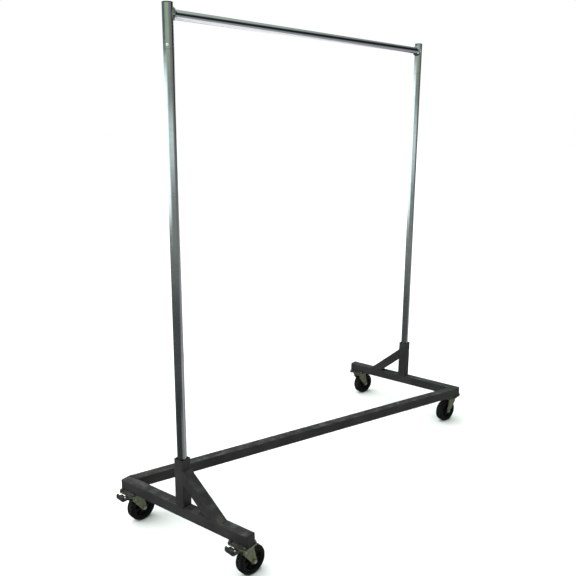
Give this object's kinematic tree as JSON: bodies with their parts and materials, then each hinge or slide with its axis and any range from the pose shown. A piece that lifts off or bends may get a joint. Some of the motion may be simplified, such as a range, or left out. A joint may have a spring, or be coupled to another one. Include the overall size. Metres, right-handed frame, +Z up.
{
  "type": "rolling clothes rack",
  "caption": "Garment rack on casters: Z-shaped square tube base, two chrome uprights in braced sockets and a round hang rail.",
  "frame": {"origin": "on the floor at the centre of the base, midway between the two uprights, where the base is symmetric under a half turn", "axes": "+X along the hang rail towards the end without brakes, -Y the front, +Z up"},
  "size_m": [1.6664, 0.59, 1.727],
  "materials": {
    "base_paint": "satin powder coat, charcoal black",
    "chrome": "polished chrome plate",
    "zinc": "yellow passivated zinc plate",
    "fastener_steel": "bright zinc plate",
    "rubber": "black rubber",
    "wheel_plastic": "black moulded core",
    "cap_plastic": "black moulded caps",
    "pedal_paint": "dark coated pressing"
  },
  "bodies": {
    "root": {"left_foot_tube": "base_paint", "right_foot_tube": "base_paint", "left_socket_tube": "base_paint", "right_socket_tube": "base_paint", "left_brace": "base_paint", "right_brace": "base_paint", "left_bar_stub": "base_paint", "right_bar_stub": "base_paint", "base_bar": "base_paint", "base_bar_screws": "fastener_steel", "left_upright": "chrome", "right_upright": "chrome", "hang_rail": "chrome", "rail_end_flares": "chrome", "left_rail_post": "chrome", "right_rail_post": "chrome", "joint_inserts": "fastener_steel", "post_caps": "cap_plastic", "foot_end_caps": "cap_plastic", "caster_mount_plates": "base_paint", "caster_plate_bolts": "fastener_steel", "rear_left_plate": "zinc", "rear_left_kingpin": "fastener_steel", "front_left_plate": "zinc", "front_left_kingpin": "fastener_steel", "rear_right_plate": "zinc", "rear_right_kingpin": "fastener_steel", "front_right_plate": "zinc", "front_right_kingpin": "fastener_steel"},
    "left_snap_button": {"left_snap_button": "chrome"},
    "right_snap_button": {"right_snap_button": "chrome"},
    "rear_left_fork": {"rear_left_fork": "zinc", "rear_left_bearing_balls": "fastener_steel", "rear_left_axle": "fastener_steel", "rear_left_axle_sleeve": "fastener_steel", "rear_left_pedal_pin": "fastener_steel"},
    "rear_left_wheel": {"rear_left_wheel_core": "wheel_plastic", "rear_left_tyre": "rubber"},
    "rear_left_brake_pedal": {"rear_left_brake_pedal": "pedal_paint"},
    "front_left_fork": {"front_left_fork": "zinc", "front_left_bearing_balls": "fastener_steel", "front_left_axle": "fastener_steel", "front_left_axle_sleeve": "fastener_steel", "front_left_pedal_pin": "fastener_steel"},
    "front_left_wheel": {"front_left_wheel_core": "wheel_plastic", "front_left_tyre": "rubber"},
    "front_left_brake_pedal": {"front_left_brake_pedal": "pedal_paint"},
    "rear_right_fork": {"rear_right_fork": "zinc", "rear_right_bearing_balls": "fastener_steel", "rear_right_axle": "fastener_steel", "rear_right_axle_sleeve": "fastener_steel"},
    "rear_right_wheel": {"rear_right_wheel_core": "wheel_plastic", "rear_right_tyre": "rubber"},
    "front_right_fork": {"front_right_fork": "zinc", "front_right_bearing_balls": "fastener_steel", "front_right_axle": "fastener_steel", "front_right_axle_sleeve": "fastener_steel"},
    "front_right_wheel": {"front_right_wheel_core": "wheel_plastic", "front_right_tyre": "rubber"}
  },
  "joints": [
    {"name": "left_button_press", "type": "slide", "parent": "root", "child": "left_snap_button", "axis": [-0.848, -0.5299, 0], "range_m": [-0.0045, 0], "stiffness_N_per_m": 250, "springref_m": 0.004},
    {"name": "right_button_press", "type": "slide", "parent": "root", "child": "right_snap_button", "axis": [0.848, 0.5299, 0], "range_m": [-0.0045, 0], "stiffness_N_per_m": 250, "springref_m": 0.004},
    {"name": "rear_left_swivel", "type": "hinge", "parent": "root", "child": "rear_left_fork", "pos_m": [-0.762, 0.256, 0.1], "axis": [0, 0, 1], "continuous": true},
    {"name": "rear_left_roll", "type": "hinge", "parent": "rear_left_fork", "child": "rear_left_wheel", "pos_m": [-0.73031, 0.25155, 0.0508], "axis": [0.1392, 0.9903, 0], "continuous": true},
    {"name": "rear_left_brake", "type": "hinge", "parent": "rear_left_fork", "child": "rear_left_brake_pedal", "pos_m": [-0.76497, 0.25642, 0.0965], "axis": [-0.1392, -0.9903, 0], "range_deg": [0, 10]},
    {"name": "front_left_swivel", "type": "hinge", "parent": "root", "child": "front_left_fork", "pos_m": [-0.762, -0.256, 0.1], "axis": [0, 0, 1], "continuous": true},
    {"name": "front_left_roll", "type": "hinge", "parent": "front_left_fork", "child": "front_left_wheel", "pos_m": [-0.73049, -0.26156, 0.0508], "axis": [0.1736, 0.9848, 0], "continuous": true},
    {"name": "front_left_brake", "type": "hinge", "parent": "front_left_fork", "child": "front_left_brake_pedal", "pos_m": [-0.76495, -0.25548, 0.0965], "axis": [-0.1736, -0.9848, 0], "range_deg": [0, 10]},
    {"name": "rear_right_swivel", "type": "hinge", "parent": "root", "child": "rear_right_fork", "pos_m": [0.762, 0.256, 0.1], "axis": [0, 0, 1], "continuous": true},
    {"name": "rear_right_roll", "type": "hinge", "parent": "rear_right_fork", "child": "rear_right_wheel", "pos_m": [0.79291, 0.24772, 0.0508], "axis": [0.2588, 0.9659, 0], "continuous": true},
    {"name": "front_right_swivel", "type": "hinge", "parent": "root", "child": "front_right_fork", "pos_m": [0.762, -0.256, 0.1], "axis": [0, 0, 1], "continuous": true},
    {"name": "front_right_roll", "type": "hinge", "parent": "front_right_fork", "child": "front_right_wheel", "pos_m": [0.73109, -0.24772, 0.0508], "axis": [-0.2588, -0.9659, 0], "continuous": true}
  ]
}
